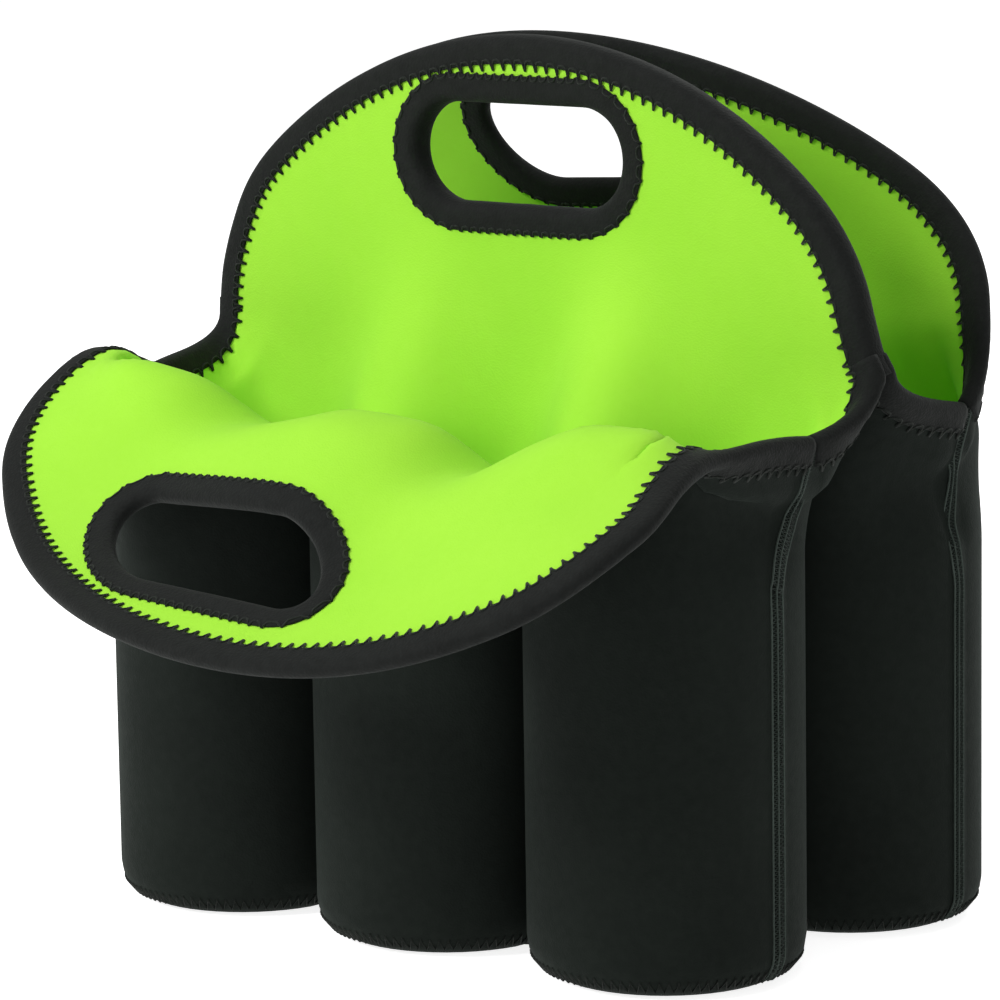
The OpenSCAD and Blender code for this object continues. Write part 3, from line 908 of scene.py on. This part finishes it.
class CarrierColours(bpy.types.PropertyGroup):
    body: bpy.props.FloatVectorProperty(
        name="Outside", description="Colour of the black face", default=(0.0130, 0.0175, 0.0142),
        min=0, max=1, size=3, subtype="COLOR")
    lining: bpy.props.FloatVectorProperty(
        name="Lining", description="Colour of the lime jersey", default=(0.42, 0.88, 0.05),
        min=0, max=1, size=3, subtype="COLOR")
    tape: bpy.props.FloatVectorProperty(
        name="Tape", description="Colour of the edge tape", default=(0.0095, 0.0110, 0.0100),
        min=0, max=1, size=3, subtype="COLOR")
    thread: bpy.props.FloatVectorProperty(
        name="Tape thread", description="Colour of the zigzag thread", default=(0.008, 0.012, 0.008),
        min=0, max=1, size=3, subtype="COLOR")
    seam: bpy.props.FloatVectorProperty(
        name="Seam thread", description="Colour of the thread of the flat seams", default=(0.07, 0.095, 0.08),
        min=0, max=1, size=3, subtype="COLOR")


class CARRIER_OT_sheets(bpy.types.Operator):
    """Makes the four panels, each a black foam sheet with its lime lining"""

    bl_idname = "carrier.sheets"
    bl_label = "Sheets"

    def execute(self, context):
        colours, sizes = context.scene.carrier_colours, context.scene.carrier_sizes
        depth, lining = sizes.sheet_depth / MM, sizes.lining_depth / MM
        cut_sheets()
        parts = {
            "front_outer": ("front_fold", "front_petal"),
            "front_inner": ("middle_front_fold", "middle_petal_front"),
            "rear_inner": ("middle_rear_fold", "middle_petal_rear"),
            "rear_outer": ("rear_fold", "rear_petal"),
        }
        for name, (fold, petal) in parts.items():
            sheet = SHEETS[name]
            shell = ply(name + "_panel", sheet, lining, depth, black_face(colours))
            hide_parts(name + "_shell", fold + "_shell", petal + "_shell")
            inside = ply(name + "_panel_lining", sheet, 0, lining, lime_face(colours))
            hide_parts(name + "_lining", fold + "_lining", petal + "_lining")
        return {"FINISHED"}


class CARRIER_OT_bases(bpy.types.Operator):
    """Makes the six round bases and their lime linings"""

    bl_idname = "carrier.bases"
    bl_label = "Bases"

    def disc(self, x, y, low, high):
        """A round base between two heights, which the foam lifts a little in its middle."""
        rings, around, lift = 7, 48, 0.5
        points, faces = [], []
        for z in (low, high):
            points.append([x, y, z + lift])
            for r in range(1, rings + 1):
                t = r / rings
                for k in range(around):
                    w = 2 * math.pi * k / around
                    points.append([x + FOOT_R * t * math.cos(w), y + FOOT_R * t * math.sin(w),
                                   z + lift * (1 - t**2)])
        half = 1 + rings * around
        for side in (0, 1):
            base = side * half
            for k in range(around):
                n = (k + 1) % around
                tri = [base, base + 1 + k, base + 1 + n]
                faces.append(tri if side else tri[::-1])
                for r in range(rings - 1):
                    a = base + 1 + r * around
                    quad = [a + k, a + around + k, a + around + n, a + n]
                    faces.append(quad if side else quad[::-1])
        rim = 1 + (rings - 1) * around
        for k in range(around):
            n = (k + 1) % around
            faces.append([rim + k, rim + n, half + rim + n, half + rim + k])
        return points, faces

    def execute(self, context):
        colours, sizes = context.scene.carrier_colours, context.scene.carrier_sizes
        lining, depth = sizes.lining_depth / MM, sizes.sheet_depth / MM
        for row, row_name in ((-1, "front"), (1, "rear")):
            points, faces = [], []
            for i, side in ((-1, "left"), (0, "centre"), (1, "right")):
                name = f"{row_name}_{side}_base"
                p, f = self.disc(i * PITCH, row * ROW_Y, 0, depth - lining)
                obj = add_piece(name + "_pad", p, f, black_face(colours))
                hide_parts(name)
                p, f = self.disc(i * PITCH, row * ROW_Y, depth - lining, depth)
                faces += [[k + len(points) for k in face] for face in f]
                points += p
            obj = add_piece(row_name + "_base_lining_discs", points, faces, lime_face(colours))
            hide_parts(row_name + "_base_linings")
        return {"FINISHED"}


def edge_of(sheet, first, last):
    """The sheet's upper edge between two places along its row."""
    columns = [i for i, q in enumerate(sheet.q) if first - 1e-6 <= q <= last + 1e-6]
    return resample(sheet.points[columns, -1], 1.8)


def into_of(sheet, edge):
    """Rough direction into the sheet at each point of its edge."""
    inner, outer = sheet.points[:, -4], sheet.points[:, -1]
    nearest = np.linalg.norm(edge[:, None] - outer[None], axis=2).argmin(1)
    return inner[nearest] - outer[nearest]


def hole_ring(hole, cover, count=140):
    """Points on a sheet round its hand hole, and the way out of the hole at each."""
    straight, turn = 2 * (HOLE_HALF - HOLE_R), math.pi * HOLE_R
    ring, out = [], []
    for k in range(count):
        s = 2 * (straight + turn) * k / count
        side = 1 if s < straight + turn else -1
        s = s if side > 0 else s - straight - turn
        if s < straight:
            c, w = -straight / 2 + s, -math.pi / 2
        else:
            c, w = straight / 2, -math.pi / 2 + (s - straight) / HOLE_R
        x, y = side * (c + HOLE_R * math.cos(w)), side * HOLE_R * math.sin(w)
        p, _ = cover.at(*hole.place(x, y))
        beside, _ = cover.at(*hole.place(x + side * math.cos(w), y + side * math.sin(w)))
        ring.append(p)
        out.append(beside - p)
    return np.array(ring), np.array(out)


class CARRIER_OT_tapes(bpy.types.Operator):
    """Folds the tape over the edges of the petals and notches and round the hand holes"""

    bl_idname = "carrier.tapes"
    bl_label = "Tapes and their stitches"

    def finish(self, context, name, binding, sheet, replaces, sheet_half=HALF_SHEET):
        """Makes a tape and its zigzag thread, which both lie along the edge of their sheet."""
        colours, sizes = context.scene.carrier_colours, context.scene.carrier_sizes
        points, faces = binding.mesh()
        tape = add_piece(name, points, faces, tape_face(colours), sheet)
        if replaces:
            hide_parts(*replaces)
        pitch, reach = sizes.stitch_pitch / MM, sizes.stitch_reach / MM * (0.15 if binding.closed else 1)
        paths = [binding.zigzag(face, pitch, reach, sheet_half) for face in (-1, 1)]
        points, faces = thread(paths, sizes.thread_radius / MM)
        add_piece(name + "_zigzag", points, faces, thread_face(colours), sheet)

    def execute(self, context):
        sizes = context.scene.carrier_sizes
        width = sizes.tape_width / MM
        half = sizes.sheet_depth / MM / 2 + sizes.tape_depth / MM
        for title in ("front", "rear"):
            sheet = SHEETS[title + "_outer"]
            edge = edge_of(sheet, 0, 3)
            binding = Binding(edge, sheet.cover, into_of(sheet, edge), half, width)
            replaces = [title + part for part in ("_edge_tape", "_left_notch_tape", "_right_notch_tape")]
            self.finish(context, title + "_rim_tape", binding, sheet, replaces)

        # One tape binds both sheets of the middle petal, and each has its own below the corners
        front, rear = SHEETS["front_inner"], SHEETS["rear_inner"]
        pair = Sheet((front.points + rear.points) / 2, front.flat, -1, front.q)
        pair.cover = Cover(pair)
        pair_half, pair_sheet_half = half + HALF_PAIR, HALF_SHEET + HALF_PAIR
        first, last = 3 - CORNER, CORNER
        edge = edge_of(pair, first - 0.06, last + 0.06)
        binding = Binding(edge, pair.cover, into_of(pair, edge), pair_half, width)
        self.finish(context, "middle_rim_tape", binding, front, ["middle_edge_tape"], pair_sheet_half)
        for title in ("front", "rear"):
            sheet = SHEETS[title + "_inner"]
            for side, start, stop in (("left", 0, first + 0.05), ("right", last - 0.05, 3)):
                edge = edge_of(sheet, start, stop)
                binding = Binding(edge, sheet.cover, into_of(sheet, edge), half, width)
                self.finish(context, f"{title}_{side}_hip_tape", binding, sheet, [])

        front_outer, rear_outer = SHEETS["front_outer"], SHEETS["rear_outer"]
        for title, sheet, cover, thick, sheet_half in (
            ("front", front_outer, front_outer.cover, half, HALF_SHEET),
            ("middle", front, pair.cover, pair_half, pair_sheet_half),
            ("rear", rear_outer, rear_outer.cover, half, HALF_SHEET),
        ):
            ring, out = hole_ring(HOLES[sheet.name], cover)
            binding = Binding(ring, cover, out, thick, width, True)
            self.finish(context, title + "_hole_tape", binding, sheet, [title + "_handle_tape"], sheet_half)
        return {"FINISHED"}


class CARRIER_OT_seams(bpy.types.Operator):
    """Sews the flat seams up the row ends and round the bases"""

    bl_idname = "carrier.seams"
    bl_label = "Flat seams"

    def execute(self, context):
        colours, sizes = context.scene.carrier_colours, context.scene.carrier_sizes
        radius = sizes.thread_radius / MM
        for row, name in ((-1, "front"), (1, "rear")):
            outer = SHEETS[name + "_outer"]
            for end, side in ((-1, "left"), (1, "right")):
                line = resample(outer.points[0 if end < 0 else -1, 2:-2], 1.1)
                across, normal = rim_frames(line, outer.cover)
                # Two zigzags that cross, then three straight threads on top
                paths = []
                for phase in (0, 1):
                    way = np.where((np.arange(len(line)) + phase) % 2, -2.1, 2.1)[:, None]
                    paths.append(line + normal * (1.85 + 0.12 * phase) + across * way)
                for way in (2.2, 0, -2.2):
                    paths.append(line + normal * 1.95 + across * way)
                points, faces = thread(paths, radius * 0.95)
                add_piece(f"{name}_{side}_end_seam", points, faces, thread_face(colours, True))
            # A zigzag over the seam between each pocket's wall and its base
            paths, teeth = [], 176
            for i in (-1, 0, 1):
                path = []
                for k in range(teeth + 1):
                    w = 2 * math.pi * k / teeth
                    lean = math.radians(50 + (12 if k % 2 else -12))
                    r = FOOT_R + (FOOT_ARC + 1.9) * math.sin(lean)
                    z = FOOT_H - (FOOT_ARC + 1.9) * math.cos(lean)
                    path.append([i * PITCH + r * math.cos(w), row * ROW_Y + r * math.sin(w), z])
                paths.append(path)
            points, faces = thread(paths, radius * 1.3)
            add_piece(name + "_base_seams", points, faces, thread_face(colours))
        return {"FINISHED"}


class CARRIER_OT_stage(bpy.types.Operator):
    """Sets the pale floor, the soft light and the camera"""

    bl_idname = "carrier.stage"
    bl_label = "Floor, light and camera"

    def execute(self, context):
        # Floor and world glow for the camera's rays, so the background is white without more light
        scene = context.scene
        floor = bpy.data.meshes.new("floor")
        floor.from_pydata([(-6, -6, 0), (6, -6, 0), (6, 6, 0), (-6, 6, 0)], [], [(0, 1, 2, 3)])
        obj = bpy.data.objects.new("floor", floor)
        scene.collection.objects.link(obj)
        material = bpy.data.materials.new("Pale floor")
        material.use_nodes = True
        tree = material.node_tree
        shader = tree.nodes["Principled BSDF"]
        shader.inputs["Base Color"].default_value = (0.9, 0.9, 0.9, 1)
        shader.inputs["Roughness"].default_value = 0.8
        rays = add_node(tree, "LightPath").outputs
        glow = add_node(tree, "Math", {0: rays["Is Camera Ray"], 1: rays["Is Glossy Ray"]},
                        operation="MAXIMUM")
        power = add_node(tree, "Math", {0: glow.outputs[0]}, {1: 0.85}, operation="MULTIPLY")
        shader.inputs["Emission Color"].default_value = (1, 1, 1, 1)
        tree.links.new(power.outputs[0], shader.inputs["Emission Strength"])
        floor.materials.append(material)

        world = bpy.data.worlds.new("Studio")
        scene.world = world
        world.use_nodes = True
        tree = world.node_tree
        back = tree.nodes["Background"]
        back.inputs["Color"].default_value = (1, 1, 1, 1)
        rays = add_node(tree, "LightPath").outputs
        seen = add_node(tree, "Math", {0: rays["Is Camera Ray"]}, {1: 0.85, 2: 0.2}, operation="MULTIPLY_ADD")
        tree.links.new(seen.outputs[0], back.inputs["Strength"])

        for name, place, size, power in (
            ("key", (-0.8, -1.6, 1.3), 0.8, 28.5),
            ("fill", (1.4, -1.1, 0.9), 1.2, 3),
            ("top", (0.1, -0.2, 1.9), 1.0, 8),
            ("rear", (-0.2, 1.6, 1.3), 1.2, 12),
        ):
            lamp = bpy.data.lights.new(name, "AREA")
            lamp.energy, lamp.size = power, size
            stand = bpy.data.objects.new(name, lamp)
            scene.collection.objects.link(stand)
            stand.location = place
            aim = Vector((0, 0, 0.1)) - Vector(place)
            stand.rotation_euler = aim.to_track_quat("-Z", "Y").to_euler()

        yaw, pitch, roll = math.radians(40), math.radians(9.2), math.radians(-0.87)
        ahead = Vector((-math.sin(yaw) * math.cos(pitch), math.cos(yaw) * math.cos(pitch), -math.sin(pitch)))
        level = Vector((math.cos(yaw), math.sin(yaw), 0))
        rise = level.cross(ahead)
        right = level * math.cos(roll) + rise * math.sin(roll)
        up = -level * math.sin(roll) + rise * math.cos(roll)
        camera = bpy.data.cameras.new("camera")
        camera.sensor_width = 36
        camera.lens = 174.06
        camera.clip_start, camera.clip_end = 0.05, 30
        view = bpy.data.objects.new("camera", camera)
        scene.collection.objects.link(view)
        view.matrix_world = Matrix.Translation((0.8355, -1.0134, 0.3253)) @ Matrix(
            (right, up, -ahead)).transposed().to_4x4()
        scene.camera = view
        scene.view_settings.view_transform = "Standard"
        return {"FINISHED"}


class CARRIER_PT_panel(bpy.types.Panel):
    """Lists the steps that make the carrier"""

    bl_idname = "CARRIER_PT_panel"
    bl_label = "Carrier"
    bl_space_type = "VIEW_3D"
    bl_region_type = "UI"
    bl_category = "Carrier"

    def draw(self, context):
        layout = self.layout
        for group in (context.scene.carrier_sizes, context.scene.carrier_colours):
            for key in group.bl_rna.properties.keys():
                if key not in {"rna_type", "name"}:
                    layout.prop(group, key)
        for step in STEPS:
            layout.operator(step.bl_idname)


STEPS = (CARRIER_OT_stage, CARRIER_OT_sheets, CARRIER_OT_bases, CARRIER_OT_tapes, CARRIER_OT_seams)
CLASSES = (CarrierSizes, CarrierColours, *STEPS, CARRIER_PT_panel)


def register():
    for cls in CLASSES:
        bpy.utils.register_class(cls)
    bpy.types.Scene.carrier_sizes = bpy.props.PointerProperty(type=CarrierSizes)
    bpy.types.Scene.carrier_colours = bpy.props.PointerProperty(type=CarrierColours)


def unregister():
    del bpy.types.Scene.carrier_colours
    del bpy.types.Scene.carrier_sizes
    for cls in reversed(CLASSES):
        bpy.utils.unregister_class(cls)


def main():
    register()
    bpy.ops.carrier.stage()
    bpy.ops.carrier.sheets()
    bpy.ops.carrier.bases()
    bpy.ops.carrier.tapes()
    bpy.ops.carrier.seams()


if __name__ == "__main__":
    main()
